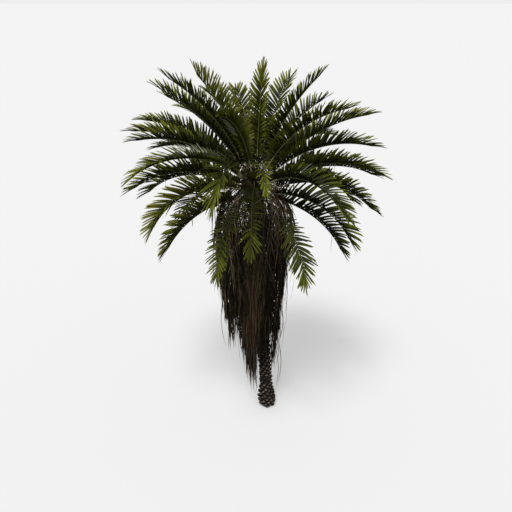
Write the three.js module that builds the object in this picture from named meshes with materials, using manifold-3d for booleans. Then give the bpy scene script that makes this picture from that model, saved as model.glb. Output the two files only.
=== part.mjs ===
// A mature date palm, rooted in the ground: one leaning trunk with a swollen foot, a round crown of
// arching feather fronds, and a skirt of dead fronds hanging round the trunk.
// Millimetres and degrees, +Z up. The origin is the middle of the flat cut under the trunk.
// Azimuths turn from +X towards +Y: 0 is right, 90 is back, 180 is left and 270 is front.
import * as THREE from "three";
import { mergeVertices } from "three/addons/utils/BufferGeometryUtils.js";
import Module from "manifold-3d";

// ---------- driving dimensions ----------

// Trunk: the axis leans to the left, and the heart is where the fronds grow from.
const HEART_HEIGHT = 7060;
const HEART_LEAN = -360;
const TRUNK_TIP = 7300;
const TRUNK_SIDES = 18;
// Height and radius of the trunk from its foot to its tip.
const TRUNK_PROFILE = [
  [0, 215],
  [120, 262],
  [280, 272],
  [460, 238],
  [680, 194],
  [1400, 182],
  [4200, 165],
  [6000, 172],
  [6500, 205],
  [6900, 175],
  [TRUNK_TIP, 60],
];
// What touches the trunk, and the two halves of a long frond, stay this far apart.
const SEAT_GAP = 0.3;

// Fronds: a bare stalk, then a blade of leaflets that stand up in a V along the rib.
const ROOT_DROP = 520;
const ROOT_INSET = 0.75;
const ROOT_STANDOFF = 45;
const STALK_SHARE = 0.14;
const BLADE_HALF = 330;
const BLADE_HALF_LEAST = 8;
const BLADE_FOLD = 38;
const BLADE_SWELL_SHARE = 0.22;
const BLADE_SWELL_POWER = 0.8;
const BLADE_TAPER_POWER = 2.6;
const RIB_DEPTH_ROOT = 62;
const RIB_DEPTH_TIP = 12;
const RIB_HALF_ROOT = 46;
const BEND_POWER = 1.25;
const BEND_STEPS = 24;
const STATIONS = 12;
// A blade takes less than half of the way to the next rib, so no two blades meet.
const NEIGHBOUR_SHARE = 0.46;
// A frond that bends further than this round the space under it is two solids, parted at its bend.
const SPLIT_BEND = 95;
const SPLIT_STATION = 6;

// One row for each frond: azimuth, rise above the level at its root, how far it has bent down by
// its tip, and its length. The first letter of a name is its whorl, from the heart outwards.
const FRONDS = {
  a1: [72, 84, 14, 2800],
  a2: [108, 76, 62, 2750],
  a3: [208, 75, 32, 3150],
  a4: [352, 74, 34, 3150],
  a5: [50, 76, 38, 2850],
  b1: [192, 69, 42, 3450],
  b2: [174, 61, 40, 3450],
  b3: [20, 66, 46, 2750],
  b4: [128, 68, 60, 3050],
  b5: [275, 56, 112, 3250],
  b6: [156, 57, 44, 3350],
  b7: [336, 64, 58, 3250],
  b8: [248, 72, 66, 2900],
  c1: [198, 51, 66, 3400],
  c2: [180, 48, 58, 3500],
  c3: [342, 49, 66, 3350],
  c4: [358, 53, 50, 3450],
  c5: [140, 56, 60, 3250],
  c6: [150, 38, 66, 3450],
  c7: [214, 46, 84, 3700],
  c8: [84, 48, 66, 3300],
  c9: [44, 44, 70, 3350],
  c10: [252, 54, 118, 3350],
  c11: [168, 50, 55, 3450],
  d1: [190, 33, 76, 3300],
  d2: [14, 29, 66, 3500],
  d3: [348, 38, 72, 3400],
  d4: [62, 30, 72, 3400],
  d5: [104, 35, 72, 3400],
  d6: [125, 26, 76, 3400],
  d7: [268, 30, 116, 3050],
  d8: [316, 38, 100, 3150],
  e1: [162, 24, 78, 3350],
  e2: [190, -8, 62, 2850],
  e3: [208, 26, 96, 3150],
  e4: [357, 23, 80, 3300],
  e5: [336, 14, 86, 2950],
  e6: [346, -6, 66, 2850],
  e7: [250, 14, 108, 3300],
  e8: [300, 4, 98, 3200],
  e9: [26, 20, 84, 3400],
  e10: [76, 12, 84, 3200],
  e11: [112, 8, 84, 3200],
  e12: [142, 6, 84, 3100],
};

// Skirt: masses of dead fronds that hang from the trunk, side by side round it.
const SKIRT_TOP = 6430;
const SKIRT_ARC_STEPS = 4;
const SKIRT_CLEARANCE = 60;
// Azimuth kept free between two masses, and the share of its sector that a mass keeps at its foot.
const SKIRT_PARTING = 1.5;
const SKIRT_FRAYED = 0.55;
// Each mass bulges and pulls in by waves round it and down it.
const SKIRT_WAVE = 0.07;
const SKIRT_WAVE_ROUND = 0.09;
const SKIRT_WAVE_DOWN = 0.0031;
const SKIRT_WAVE_TWIST = 0.05;
// How far out the skirt stands, as a share of its reach, from its top to its foot.
const SKIRT_SHAPE = [
  [0, 0.32],
  [0.04, 0.62],
  [0.12, 0.9],
  [0.24, 1],
  [0.42, 0.98],
  [0.6, 0.9],
  [0.76, 0.78],
  [0.9, 0.64],
  [1, 0.48],
];
// The inner face starts inside the trunk, which cuts it, and hangs clear of the trunk at its foot:
// there it is this share of the way from the trunk to the outside.
const SKIRT_INNER_START = 0.9;
const SKIRT_INNER_FOOT = 0.3;
// One row for each mass, an eighth of a turn apart: its middle azimuth, the height of its foot, and
// how far it reaches from the trunk's axis.
const SKIRT = {
  right: [0, 1900, 860],
  back_right: [45, 2250, 920],
  back: [90, 1750, 900],
  back_left: [135, 2350, 960],
  left: [180, 1900, 1040],
  front_left: [225, 850, 900],
  front: [270, 1500, 800],
  front_right: [315, 1700, 840],
};

const leafMaterial = new THREE.MeshStandardMaterial({ color: 0x3c4a16, roughness: 0.6 });
const barkMaterial = new THREE.MeshStandardMaterial({ color: 0x5b4c40, roughness: 0.95 });
const thatchMaterial = new THREE.MeshStandardMaterial({ color: 0x33271c, roughness: 0.95 });

const { clamp, degToRad, lerp, mapLinear, radToDeg } = THREE.MathUtils;

// ---------- closed solids ----------

const wasm = await Module();
wasm.setup();

function solidOf(geometry) {
  const bare = new THREE.BufferGeometry();
  bare.setAttribute("position", geometry.getAttribute("position"));
  bare.setIndex(geometry.getIndex());
  const merged = mergeVertices(bare);
  const mesh = new wasm.Mesh({
    numProp: 3,
    vertProperties: merged.getAttribute("position").array,
    triVerts: merged.getIndex().array,
  });
  return new wasm.Manifold(mesh);
}

function geometryOf(solid) {
  const { vertProperties, triVerts } = solid.getMesh();
  const geometry = new THREE.BufferGeometry();
  geometry.setAttribute("position", new THREE.BufferAttribute(vertProperties, 3));
  geometry.setIndex(new THREE.BufferAttribute(triVerts, 1));
  geometry.computeVertexNormals();
  return geometry;
}

// Joins rings of the same number of points into one closed solid. caps lists the triangles that
// close the first ring, as corners of the ring; the last ring takes them the other way round.
function loft(rings, caps) {
  const sides = rings[0].length;
  const faces = [];
  for (let ring = 0; ring + 1 < rings.length; ring += 1) {
    for (let k = 0; k < sides; k += 1) {
      const a = ring * sides + k;
      const b = ring * sides + ((k + 1) % sides);
      faces.push(a, b, b + sides, a, b + sides, a + sides);
    }
  }
  const last = (rings.length - 1) * sides;
  for (const [a, b, c] of caps) {
    faces.push(a, c, b, last + a, last + b, last + c);
  }
  const geometry = new THREE.BufferGeometry().setFromPoints(rings.flat());
  geometry.setIndex(faces);
  geometry.computeVertexNormals();
  return geometry;
}

// ---------- trunk ----------

function trunkAxis(z) {
  return (HEART_LEAN * z) / HEART_HEIGHT;
}

// Reads a table of [where, value] rows at a place between two of them.
function along(table, where) {
  const next = table.findIndex(([row]) => row >= where);
  if (next < 0) return table.at(-1)[1];
  if (next === 0) return table[0][1];
  const [low, lowValue] = table[next - 1];
  const [high, highValue] = table[next];
  return mapLinear(where, low, high, lowValue, highValue);
}

function trunkGeometry(grown) {
  const profile = [
    new THREE.Vector2(0, -grown),
    ...TRUNK_PROFILE.map(([z, r]) => new THREE.Vector2(r + grown, z === 0 ? -grown : z)),
    new THREE.Vector2(0, TRUNK_TIP + grown),
  ];
  const geometry = new THREE.LatheGeometry(profile, TRUNK_SIDES).rotateX(Math.PI / 2);
  const place = geometry.getAttribute("position");
  for (let i = 0; i < place.count; i += 1) {
    place.setX(i, place.getX(i) + trunkAxis(place.getZ(i)));
  }
  return geometry;
}

const trunkRoom = solidOf(trunkGeometry(SEAT_GAP));

// Cuts a solid that starts inside the trunk back to the trunk's surface.
function seatedOnTrunk(geometry) {
  return geometryOf(solidOf(geometry).subtract(trunkRoom));
}

// ---------- fronds ----------

// The rib of a frond: a curve in the upright plane of its azimuth through the heart. It leaves the
// trunk at its rise and bends down more and more towards the tip.
class Rib extends THREE.Curve {
  constructor([azimuth, rise, arch, length]) {
    super();
    this.out = new THREE.Vector3(Math.cos(degToRad(azimuth)), Math.sin(degToRad(azimuth)), 0);
    this.rise = degToRad(rise);
    this.arch = degToRad(arch);
    this.length = length;
    const rootZ = HEART_HEIGHT - ROOT_DROP * Math.cos(this.rise) ** 2;
    const rootR = along(TRUNK_PROFILE, rootZ) * ROOT_INSET + ROOT_STANDOFF * Math.sin(this.rise);
    this.root = new THREE.Vector3(HEART_LEAN, 0, rootZ).addScaledVector(this.out, rootR);
  }

  slope(t) {
    return this.rise - this.arch * t ** BEND_POWER;
  }

  getPoint(t, target = new THREE.Vector3()) {
    let reach = 0;
    let climb = 0;
    for (let i = 0; i < BEND_STEPS; i += 1) {
      const slope = this.slope((t * (i + 0.5)) / BEND_STEPS);
      reach += Math.cos(slope);
      climb += Math.sin(slope);
    }
    const step = (this.length * t) / BEND_STEPS;
    target.copy(this.root).addScaledVector(this.out, reach * step);
    target.z += climb * step;
    return target;
  }
}

const ribs = Object.fromEntries(Object.entries(FRONDS).map(([name, row]) => [name, new Rib(row)]));
const ribLines = Object.fromEntries(
  Object.entries(ribs).map(([name, rib]) => [name, rib.getPoints(4 * STATIONS)]),
);

// Distance from a point to the nearest rib of another frond.
function wayToNextRib(name, point) {
  const nearest = new THREE.Vector3();
  let least = Infinity;
  for (const [other, line] of Object.entries(ribLines)) {
    if (other === name) continue;
    for (let i = 0; i + 1 < line.length; i += 1) {
      new THREE.Line3(line[i], line[i + 1]).closestPointToPoint(point, true, nearest);
      least = Math.min(least, nearest.distanceTo(point));
    }
  }
  return least;
}

// Half-width of the leaflets along the rib, from the bare stalk to the tip.
function bladeHalf(t) {
  const share = clamp((t - STALK_SHARE) / (1 - STALK_SHARE), 0, 1);
  const swell = Math.min(1, share / BLADE_SWELL_SHARE) ** BLADE_SWELL_POWER;
  const taper = Math.sqrt(1 - share ** BLADE_TAPER_POWER);
  return lerp(RIB_HALF_ROOT, BLADE_HALF, swell) * taper;
}

// Four corners of a frond's section: right edge, upper fold, left edge and keel.
function frondRing(name, rib, t) {
  const at = rib.getPoint(t);
  const slope = rib.slope(t);
  const side = new THREE.Vector3(-rib.out.y, rib.out.x, 0);
  const up = rib.out.clone().multiplyScalar(-Math.sin(slope));
  up.z = Math.cos(slope);
  const room = Math.min(wayToNextRib(name, at) * NEIGHBOUR_SHARE, wayToSkirt(at));
  const arm = Math.max(BLADE_HALF_LEAST, Math.min(bladeHalf(t), room));
  const half = arm * Math.cos(degToRad(BLADE_FOLD));
  const lift = arm * Math.sin(degToRad(BLADE_FOLD));
  const depth = Math.min(lerp(RIB_DEPTH_ROOT, RIB_DEPTH_TIP, t) / 2, arm);
  const corner = (across, above) => at.clone().addScaledVector(side, across).addScaledVector(up, above);
  return [corner(half, lift), corner(0, depth), corner(-half, lift), corner(0, -depth)];
}

const DART_CAPS = [
  [0, 1, 3],
  [1, 2, 3],
];

function addFrond(name) {
  const rib = ribs[name];
  const rings = [];
  for (let i = 0; i <= STATIONS; i += 1) {
    rings.push(frondRing(name, rib, i / STATIONS));
  }
  if (rib.arch < degToRad(SPLIT_BEND)) {
    add(`frond_${name}`, seatedOnTrunk(loft(rings, DART_CAPS)), leafMaterial);
    return;
  }
  const inner = rings.slice(0, SPLIT_STATION + 1);
  const outer = rings.slice(SPLIT_STATION);
  const onward = rib.getTangent(SPLIT_STATION / STATIONS).multiplyScalar(SEAT_GAP);
  outer[0] = outer[0].map((corner) => corner.clone().add(onward));
  add(`frond_${name}_inner`, seatedOnTrunk(loft(inner, DART_CAPS)), leafMaterial);
  add(`frond_${name}_outer`, loft(outer, DART_CAPS), leafMaterial);
}

// ---------- skirt ----------

const skirtRows = Object.values(SKIRT);
const HALF_SECTOR = 180 / skirtRows.length;

// Radius of the skirt's outside at a height, in the sector of one mass.
function skirtRadius([azimuth, foot, reach], angle, z) {
  const down = (SKIRT_TOP - z) / (SKIRT_TOP - foot);
  const round = Math.sin(SKIRT_WAVE_ROUND * angle + azimuth);
  const drop = Math.sin(SKIRT_WAVE_DOWN * z + SKIRT_WAVE_TWIST * angle + 2 * azimuth);
  return reach * along(SKIRT_SHAPE, down) * (1 + SKIRT_WAVE * (round + drop));
}

// Room between a point and the skirt, measured level; endless above and below the mass there.
function wayToSkirt(point) {
  const x = point.x - trunkAxis(point.z);
  const angle = (radToDeg(Math.atan2(point.y, x)) + 360) % 360;
  const row = skirtRows[Math.round(angle / (2 * HALF_SECTOR)) % skirtRows.length];
  if (point.z > SKIRT_TOP || point.z < row[1]) return Infinity;
  return Math.hypot(x, point.y) - skirtRadius(row, angle, point.z) - SKIRT_CLEARANCE;
}

// The ring of one skirt mass at a height: the outside arc, then the inner face back again.
function skirtRing(row, z) {
  const [azimuth, foot] = row;
  const down = (SKIRT_TOP - z) / (SKIRT_TOP - foot);
  const spread = lerp(HALF_SECTOR - SKIRT_PARTING / 2, HALF_SECTOR * SKIRT_FRAYED, down ** 2);
  const start = along(TRUNK_PROFILE, z) * SKIRT_INNER_START;
  const outer = [];
  const inner = [];
  for (let i = 0; i <= SKIRT_ARC_STEPS; i += 1) {
    const angle = azimuth + lerp(-spread, spread, i / SKIRT_ARC_STEPS);
    const reach = skirtRadius(row, angle, z);
    const near = lerp(start, reach, SKIRT_INNER_FOOT * down);
    const ray = new THREE.Vector3(Math.cos(degToRad(angle)), Math.sin(degToRad(angle)), 0);
    const middle = new THREE.Vector3(trunkAxis(z), 0, z);
    outer.push(middle.clone().addScaledVector(ray, reach));
    inner.unshift(middle.clone().addScaledVector(ray, near));
  }
  return [...outer, ...inner];
}

// Triangles that close a ring of two facing arcs.
function stripCaps(sides) {
  const caps = [];
  for (let i = 0; i + 1 < sides / 2; i += 1) {
    const [a, b, c, d] = [i, i + 1, sides - 2 - i, sides - 1 - i];
    caps.push([a, b, c], [a, c, d]);
  }
  return caps;
}

function addSkirtMass(name, row) {
  const rings = SKIRT_SHAPE.map(([down]) => skirtRing(row, lerp(SKIRT_TOP, row[1], down)));
  const caps = stripCaps(rings[0].length);
  add(`skirt_${name}`, seatedOnTrunk(loft(rings.reverse(), caps)), thatchMaterial);
}

// ---------- the palm ----------

const palm = new THREE.Group();

function add(name, geometry, material) {
  const mesh = new THREE.Mesh(geometry, material);
  mesh.name = name;
  palm.add(mesh);
}

add("trunk", trunkGeometry(0), barkMaterial);
for (const name of Object.keys(FRONDS)) {
  addFrond(name);
}
for (const [name, row] of Object.entries(SKIRT)) {
  addSkirtMass(name, row);
}

export default palm;
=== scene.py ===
"""The looks of a date palm: bark and frond stubs on its trunk, arching feather fronds and a skirt of
dead ones. Metres, +Z up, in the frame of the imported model: the trunk and ribs are read from its nodes."""
import math
from typing import NamedTuple

import bpy
import numpy as np
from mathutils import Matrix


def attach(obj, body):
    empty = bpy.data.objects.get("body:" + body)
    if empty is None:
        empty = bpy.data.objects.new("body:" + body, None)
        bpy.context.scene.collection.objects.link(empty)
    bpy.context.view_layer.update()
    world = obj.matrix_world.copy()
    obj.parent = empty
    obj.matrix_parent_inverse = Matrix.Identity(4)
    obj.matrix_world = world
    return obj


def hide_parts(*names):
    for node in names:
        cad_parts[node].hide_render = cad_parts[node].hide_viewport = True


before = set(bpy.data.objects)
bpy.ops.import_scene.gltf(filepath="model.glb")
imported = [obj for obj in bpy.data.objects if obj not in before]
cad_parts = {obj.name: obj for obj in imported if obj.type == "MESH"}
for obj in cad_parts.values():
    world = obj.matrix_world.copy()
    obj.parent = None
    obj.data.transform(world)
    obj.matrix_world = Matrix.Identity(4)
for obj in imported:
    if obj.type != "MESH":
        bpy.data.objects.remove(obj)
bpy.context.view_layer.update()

# ---------- driving values ----------

SEED = 11
HEART_HEIGHT = 7.06        # the plumb line through the crown crosses the axis of the trunk here

# Finishes, as numbers in the lists GREENS, STALKS and DEAD.
DEEP, DARK, MID, FRESH, LIGHT, TIP, GREY, SILVER_SHEEN = range(8)
FOOT, PALE, GREEN, DRY, SHADED = range(5)
BLACK, UMBER, BROWN, RUST, BUFF, SHEATH = range(6)

# Green fronds. Lengths in metres, shares along the rib from its root, angles in degrees.
RIB_END = 0.890            # the rib stops here, and its last leaflets reach the frond's tip
RIB_STATIONS = 26
RIB_SIDES = 8
RIB_INSET = 0.05           # its foot is set this deep into the trunk
SPINE_START = 0.055        # first spines
SPINE_COUNT = 9            # down each side of the stalk
SPINE_LENGTH = 0.11
SPINE_WIDTH = 0.011
SPINE_FOLD = 0.9           # rise of its edges over its fold, as a share of half its width
BLADE_START = 0.13         # first true leaflets
GROUP_PITCH = 0.041        # leaflets spring from the rib in close groups, this far apart
GROUP_SIZE = 2
GROUP_SPREAD = 0.012       # from one leaflet of a group to the next, along the rib
LEAFLET_LENGTH = 0.56
LEAFLET_FIRST = 0.35       # length of the first leaflets, as a share of that of full ones
LEAFLET_GROWN = 0.24       # this far past the first ones they are full
LEAFLET_LAST = 0.32        # the last leaflets are shorter than full ones by this share
LEAFLET_WIDTH = 0.047
LEAFLET_STATIONS = 8
LEAFLET_OUTLINE = ([0, 0.08, 0.25, 0.65, 0.88, 1], [0.55, 0.95, 1, 0.92, 0.64, 0])
LEAFLET_FOLD = 0.35        # rise of its edges over its fold, as a share of half its width
LEAFLET_BOW = 0.24         # how far the end of a level leaflet has come down, as a share of its length
LEAFLET_SWEEP = 76         # from the rib ahead to a leaflet by the stalk
LEAFLET_FALL = 12          # leaflets at the tip stand this much less over the rib than by the stalk
COMB_WAVES = ((5.3, 3.5), (9.7, 3.0))   # waves of the sweep: how many along the blade, and how strong
LEAFLET_SHADE_STEPS = (-2, -2, -1, 0, 1, 1, 2)        # steps by which a leaflet gets lighter from its foot to its end: painted shade at the foot, by the rib and in the V, and the yellow-green of its end
LIGHTER_FROM = 0.8           # leaflets past this share of the blade are a step lighter
SHADE_TO = 0.45            # on a frond in shade, those up to this share get a step of painted shade
DULL_TO = 0.55             # grey leaflets grow up to here
PAINTED_SHEEN_COVER = 0.8          # share of the leaflets in a patch of painted sheen that get it
# How uneven groups of leaflets are from each other, and the leaflets of a group.
GROUP_SCATTER = {"place": 0.005, "sweep": 1.5, "lift": 2.5, "size": 0.035, "bow": 0.12, "bend": 0.015}
LEAFLET_SCATTER = {"lift": 2, "size": 0.02, "twist": 5, "width": 0.06}


class Habit(NamedTuple):
    """How the leaflets of a frond stand and look."""
    lift: float                    # degrees that they stand over the rib
    splay: float                   # degrees that they open from it more than LEAFLET_SWEEP
    close: float                   # degrees that the comb closes towards the tip
    long: float                    # their length, their width and the way from group to group, as
    slim: float                    # shares of the values above
    pitch: float
    tint: int                      # their green
    end: float = 14                # degrees more that the comb closes at the very tip
    roll: float = 0                # degrees that both rows are turned about the rib
    start: float = BLADE_START     # where the first of them grow
    loose: float = 1               # how uneven they are, as a share of the usual
    fade: float = 1                # how much of the painted shade and lighter ends along a leaflet show on them
    shade: int = 0                 # 1 on a frond in shade: painted shade near the trunk, and painted light only past bright
    bright: float = 0.62           # share of the blade
    dull: float = 0                # share of those near the trunk that are grey
    painted_sheen: tuple = (0, 0, 0)       # painted sheen in silver from here to there on the rib, on side 1, -1 or both, 0


# The leaflets of each whorl, from the top of the crown down.
WHORLS = {
    "a": {"lift": 40, "splay": -8, "close": 26, "end": 20, "long": 0.90, "slim": 0.90, "pitch": 1.35,
          "dull": 0.15},
    "b": {"lift": 44, "splay": -4, "close": 26, "end": 24, "long": 0.94, "slim": 0.88, "pitch": 1.3,
          "dull": 0.25},
    "c": {"lift": 43, "splay": -6, "close": 40, "long": 0.95, "slim": 0.90, "pitch": 1.15, "dull": 0.25},
    "d": {"lift": 45, "splay": -4, "close": 38, "long": 0.98, "slim": 1.02, "pitch": 1.35, "dull": 0.08},
    "e": {"lift": 42, "splay": 0, "close": 34, "long": 1.10, "slim": 1.16, "pitch": 1.55},
}
# Fronds that differ from the rest of their whorl. Their tints are painted light and shade: a3 is
# # painted light, as if lit through; b5, c10, d7, e7 and e8 are painted dark in the crown's shade but
# # for their ends; b8 and c7 carry painted sheen.
HABIT = {
    "frond_a1": {"splay": -15, "close": 36, "long": 0.82, "slim": 0.85, "pitch": 1.0},
    "frond_a3": {"lift": 64, "splay": -4, "long": 1.0, "slim": 0.7, "tint": LIGHT},
    "frond_b5": {"close": 46, "long": 0.58, "slim": 0.62, "pitch": 1.4, "loose": 2.5,
                 "tint": DARK, "fade": 0.5, "shade": 1},
    "frond_b8": {"splay": -22, "roll": -30, "long": 0.74, "slim": 0.8, "painted_sheen": (0.40, 0.66, -1)},
    "frond_c7": {"splay": -14, "close": 46, "pitch": 1.0, "painted_sheen": (0.22, 0.62, 0)},
    "frond_c8": {"splay": -12, "close": 44, "pitch": 1.0},
    "frond_c10": {"close": 58, "start": 0.30, "long": 1.15, "slim": 0.66, "pitch": 1.2, "loose": 2.5,
                  "tint": DARK, "fade": 0.5, "shade": 1, "bright": 0.78},
    "frond_d7": {"splay": 9, "close": 28, "end": 52, "long": 0.72, "slim": 0.50, "pitch": 1.15,
                 "loose": 2.5, "tint": DEEP, "fade": 0.5, "shade": 1, "bright": 0.76},
    "frond_e2": {"splay": -6, "long": 1.16, "pitch": 1.1},
    "frond_e3": {"splay": -6, "long": 1.12, "pitch": 1.1},
    "frond_e6": {"long": 1.0},
    "frond_e7": {"lift": 16, "splay": 4, "close": 34, "end": 34, "roll": -16, "start": 0.26,
                 "long": 0.66, "slim": 0.70, "pitch": 1.15, "loose": 3.0,
                 "tint": DARK, "fade": 0.5, "shade": 1},
    "frond_e8": {"lift": 16, "splay": 0, "close": 42, "end": 26, "roll": -30, "start": 0.38,
                 "long": 0.74, "slim": 0.85, "pitch": 1.1, "loose": 4.0,
                 "tint": DARK, "fade": 0.5, "shade": 1},
}
# The greens that the fronds of a whorl draw from, and fronds painted one step lighter as sunlit (LIT)
# # and one step darker as in the shade of other fronds (DIM).
TINTS = {"a": (MID,), "b": (DARK, MID, MID), "c": (DARK, MID, MID), "d": (MID,), "e": (MID, FRESH)}
LIT = ("frond_a1", "frond_a3", "frond_b1", "frond_b2", "frond_b7", "frond_c4", "frond_c7", "frond_d3",
       "frond_e3")
DIM = ("frond_b3", "frond_b6", "frond_c6", "frond_d2", "frond_d8", "frond_e1", "frond_e4", "frond_e5",
       "frond_e6", "frond_e9")


# Skirt of dead fronds.
class Bundle(NamedTuple):
    """Dead fronds that hang side by side round one side of the trunk."""
    count: int
    first: float                   # azimuths from and to
    last: float
    shoulder: float                # how far out they hang at the shoulder and at the foot
    foot: float
    foot_first: float              # heights of their feet from and to
    foot_last: float
    stiff: float                   # how stiff their leaflets still are, from 0 to 1
    finishes: tuple


BUNDLES = {
    "left": [
        (4, 172, 210, 1.05, 0.94, 4.7, 4.3, 0.7, (BLACK, BUFF, UMBER)),
        (5, 172, 206, 0.98, 0.82, 3.8, 3.4, 0.3, (BLACK, UMBER, UMBER)),
        (4, 186, 204, 0.92, 0.66, 2.9, 2.5, 0.1, (BLACK, UMBER, UMBER)),
        (3, 162, 200, 0.62, 0.54, 4.0, 3.7, 0.1, (BLACK, UMBER)),
        (3, 205, 216, 0.76, 0.64, 3.5, 3.1, 0.2, (BLACK, UMBER))],
    "front_left": [
        (4, 210, 238, 0.94, 0.80, 4.8, 4.4, 0.6, (BLACK, BUFF, UMBER)),
        (7, 204, 232, 0.84, 0.74, 3.8, 3.6, 0.2, (BLACK, UMBER, UMBER)),
        (6, 226, 240, 0.66, 0.61, 3.3, 2.9, 0.1, (BLACK, UMBER, UMBER)),
        (6, 230, 250, 0.62, 0.48, 2.6, 2.0, 0.1, (UMBER, BROWN, UMBER, BLACK)),
        (4, 230, 258, 0.52, 0.32, 1.75, 1.45, 0.0, (UMBER, BLACK, UMBER))],
    "front": [
        (3, 252, 284, 0.80, 0.70, 4.6, 4.6, 0.4, (UMBER, BROWN)),
        (8, 250, 286, 0.70, 0.54, 2.8, 3.3, 0.1, (BROWN, RUST, UMBER)),
        (6, 252, 296, 0.50, 0.36, 2.1, 2.4, 0.0, (UMBER, BROWN, RUST)),
        (5, 250, 276, 0.44, 0.36, 1.65, 1.9, 0.0, (UMBER, UMBER, BROWN))],
    "front_right": [
        (4, 300, 334, 0.90, 0.82, 5.2, 5.3, 0.6, (UMBER, BROWN, BUFF)),
        (6, 298, 338, 0.80, 0.62, 3.1, 3.4, 0.6, (BLACK, BLACK, UMBER)),
        (4, 298, 318, 0.56, 0.44, 2.7, 2.5, 0.1, (BLACK, UMBER)),
        (5, 308, 330, 0.60, 0.50, 2.6, 2.8, 0.9, (BLACK, BLACK, UMBER))],
    "right": [
        (5, 338, 378, 1.04, 0.90, 5.0, 5.1, 0.7, (BROWN, UMBER, BUFF)),
        (6, 336, 362, 0.82, 0.54, 2.3, 2.0, 0.2, (BLACK, UMBER)),
        (3, 340, 368, 0.80, 0.74, 4.1, 3.8, 0.5, (BLACK, UMBER))],
    "back": [
        (4, 72, 108, 0.94, 0.80, 4.3, 4.1, 0.6, (UMBER, BROWN, BUFF)),
        (7, 74, 112, 0.80, 0.46, 2.9, 2.3, 0.2, (BLACK, UMBER, BROWN))],
    "back_left": [
        (3, 118, 152, 0.98, 0.84, 4.3, 4.5, 0.6, (UMBER, BUFF, BROWN)),
        (6, 114, 156, 0.82, 0.56, 3.0, 3.5, 0.2, (BLACK, UMBER, BROWN))],
    "back_right": [
        (3, 28, 62, 0.90, 0.78, 4.5, 4.3, 0.6, (BROWN, UMBER, RUST)),
        (5, 32, 66, 0.78, 0.54, 3.9, 3.2, 0.2, (BLACK, UMBER, BROWN))],
}
SHOULDER = 5.6             # height of the shoulder
DEAD_TOP = 7.0             # the highest dead fronds leave the trunk here, under the green ones
DEAD_FALL = (3.2, 4.0)     # from its start to its foot a dead frond comes down at most about this far
DEAD_STATIONS = 22
DEAD_SIDES = 5
ARCH_DROP = 0.40           # a dead rib is two thirds of the way out when it has come down this far
TRUNK_CLEARANCE = 0.05     # between the trunk and a dead rib
# How uneven the dead ribs of a bundle are in azimuth, height of foot, reach and sway, and how much
# lower than DEAD_TOP they start at most.
BUNDLE_SCATTER = {"turn": 2.5, "foot": 0.14, "reach": 0.04, "sway": 0.05}
START_SPREAD = 0.35
STRAND_PITCH = 0.080
STRAND_LENGTH = 0.62
STRAND_WIDTH = 0.025
STRAND_OUTLINE = (0.7, 1, 1, 0.9, 0.75, 0.45, 0)
STRAND_FOLD = 0.6          # rise of its edges over its fold, as a share of half its width
STRAND_DROOP = 0.85        # share of its fall by which a strand goes less far the way it set out

# The old sheath in front of the heart: its upper end from the heart, how far it hangs down and stands
# out, and half the width of its foot.
SHEATH_END = (-0.14, -0.40, 0.0)
SHEATH_DROP = 0.50
SHEATH_STAND = 0.20
SHEATH_HALF = 0.17
SHEATH_STRIPS = 11

# Loose threads: how many, shortest and longest on each mass of the skirt and under each low frond, and
# for those at the end of the frond that leans furthest over the skirt, places on its rib and lengths.
MASS_THREADS = (18, 0.8, 1.8)
FROND_THREADS = (1, 0.2, 0.6)
LONG_THREADS = ("frond_c10", (0.84, 0.87, 0.90), (1.5, 1.9, 1.1))
THREAD_WIDTH = 0.017
THREAD_STATIONS = 9
THREAD_END = 0.5           # threads of the skirt stay this far over the ground

# Trunk.
BARK_COLUMNS = 96
BARK_ROWS = 360
BARK_WAVES = ((0.006, 13, 61), (0.004, 21, -97))   # pits: depth, waves round it and phase for a metre up
STUB_SPACING = 0.118       # the square root of the area of trunk that each stub takes up
STUB_SLANT = 14            # degrees that a stub's foot is turned from level
STUB_DEPTH = 0.060         # the bark between the stubs lies this far inside the trunk's outline
STUB_SIDES = 8
# Sections of a stub from its foot to its cut face: how far out, as a share of its depth, how far up,
# how wide and how tall, as shares of its size.
STUB_SECTIONS = ((-0.3, -0.16, 1.04, 1.0), (0.25, -0.06, 0.94, 0.86), (0.8, 0.06, 0.78, 0.62),
                 (1.0, 0.12, 0.60, 0.44))
STUB_FACE = (0.9, 0.13)    # the middle of the cut face: how far out and up
PALER_BELOW = 2.2              # stubs are paler below this height, the most at the ground

# Camera: lens and film in millimetres, degrees that it looks down, and what it looks at from how far.
LENS = 35
FILM = 32
LOOK_DOWN = 24.4
TARGET = (-0.33, 0.0, 4.85)
DISTANCE = 14.8

# Stage: the floor's half side and grey, the sky's greys from its foot up, and the lamp's turns.
FLOOR_HALF = 4000.0
FLOOR_GREY = 0.36
SKY_GREYS = ((0.48, 0.07), (0.495, 0.86), (0.62, 0.86), (0.8, 0.6))
LAMP_TURNS = (26, 0, -20)
LAMP_SPREAD = 18
LAMP_STRENGTH = 3.0

BUMP_DISTANCE = 0.01
FINE_SCALE = 60            # noise of the plain finishes
FINE_DETAIL = 4
COARSE_DETAIL = 6          # and of the mottled ones
DOWN = np.array([0.0, 0.0, -1.0])
TINY = 1e-9
TURN = 2 * math.pi
GOLDEN_TURN = TURN * (1 - 1 / ((1 + 5 ** 0.5) / 2))


# ---------- reading the frame ----------

def node_points(*names):
    """Every different vertex of these nodes, as rows of x, y, z."""
    found = []
    for name in names:
        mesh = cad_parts[name].data
        flat = np.empty(len(mesh.vertices) * 3, np.float32)
        mesh.vertices.foreach_get("co", flat)
        found.append(flat.reshape(-1, 3))
    return np.unique(np.round(np.concatenate(found), 5), axis=0).astype(float)


def frond_names():
    """The name of each frond with its nodes: one, or its inner and outer half."""
    fronds = {}
    for node in sorted(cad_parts):
        if node.startswith("frond_"):
            fronds.setdefault("_".join(node.split("_")[:2]), []).append(node)
    return fronds


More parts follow.
